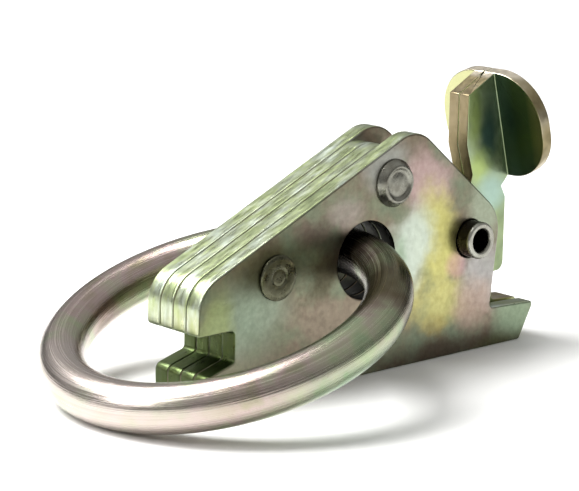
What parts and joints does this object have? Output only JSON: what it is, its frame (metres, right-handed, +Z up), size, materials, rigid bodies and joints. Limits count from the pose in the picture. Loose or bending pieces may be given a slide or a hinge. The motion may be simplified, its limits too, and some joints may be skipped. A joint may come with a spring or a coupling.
{
  "type": "track spring fitting with round ring",
  "caption": "Laminated load-track fitting: riveted steel plates with a notched nose, a sprung two-wing latch and a welded round ring through the stack.",
  "frame": {"origin": "on the plane the plates stand on, midway through the plate stack, under the centre of the ring hole", "axes": "+X from the nose towards the spring latch, +Y across the plates away from the near side, +Z up"},
  "size_m": [0.096, 0.0608, 0.0476],
  "materials": {
    "plated_plate": "yellow zinc plated, iridescent satin",
    "plated_latch": "yellow zinc plated, iridescent satin",
    "plated_ring": "yellow zinc plated wire, semi-gloss",
    "rivet_steel": "zinc plated, set by a press",
    "washer_steel": "zinc plated, plain",
    "spring_steel": "oiled spring wire"
  },
  "bodies": {
    "plate_stack": {"outer_plate_near": "plated_plate", "inner_plate_near": "plated_plate", "inner_plate_far": "plated_plate", "outer_plate_far": "plated_plate", "front_rivet": "rivet_steel", "top_rivet": "rivet_steel", "pivot_rivet": "rivet_steel", "pivot_washer_near": "washer_steel", "pivot_washer_far": "washer_steel", "latch_spring": "spring_steel"},
    "latch": {"latch_plate_near": "plated_latch", "latch_plate_far": "plated_latch"},
    "ring": {"ring": "plated_ring"}
  },
  "joints": [
    {"name": "latch_pivot", "type": "hinge", "parent": "plate_stack", "child": "latch", "pos_m": [0.0243, 0, 0.0199], "axis": [0, 1, 0], "range_deg": [0, 40], "stiffness_Nm_per_rad": 0.15, "springref_deg": -45.84, "deforming": ["latch_spring"]},
    {"name": "ring_swing", "type": "hinge", "parent": "plate_stack", "child": "ring", "pos_m": [0, 0, 0.0194], "axis": [0, 1, 0], "range_deg": [-145, 205]}
  ]
}
